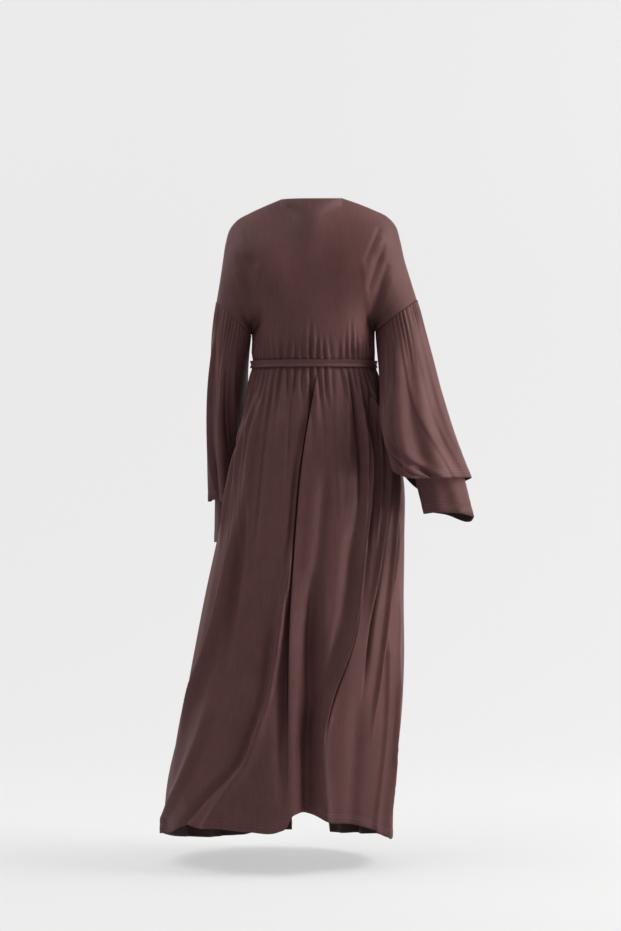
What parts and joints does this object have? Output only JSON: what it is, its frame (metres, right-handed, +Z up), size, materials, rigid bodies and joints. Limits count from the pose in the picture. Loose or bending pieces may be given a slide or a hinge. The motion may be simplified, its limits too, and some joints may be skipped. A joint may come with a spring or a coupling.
{
  "type": "abaya",
  "caption": "Long open-front jersey abaya with dropped shoulders, gathered bell sleeves over straight under-sleeves, a narrow belt and a full gathered skirt.",
  "frame": {"origin": "middle of the neck base, level with the shoulders where the wearer holds the garment up", "axes": "+Z up the garment, +Y out of its back, +X to the wearer's left"},
  "size_m": [0.7155, 0.5314, 1.5111],
  "materials": {
    "jersey": "smooth matt jersey with a soft sheen"
  },
  "bodies": {
    "root": {"bodice_back": "jersey", "bodice_front_left": "jersey", "bodice_front_right": "jersey", "sleeve_left": "jersey", "sleeve_right": "jersey", "under_sleeve_left": "jersey", "under_sleeve_right": "jersey", "skirt_back": "jersey", "skirt_front_left": "jersey", "skirt_front_right": "jersey", "belt": "jersey"}
  },
  "joints": []
}
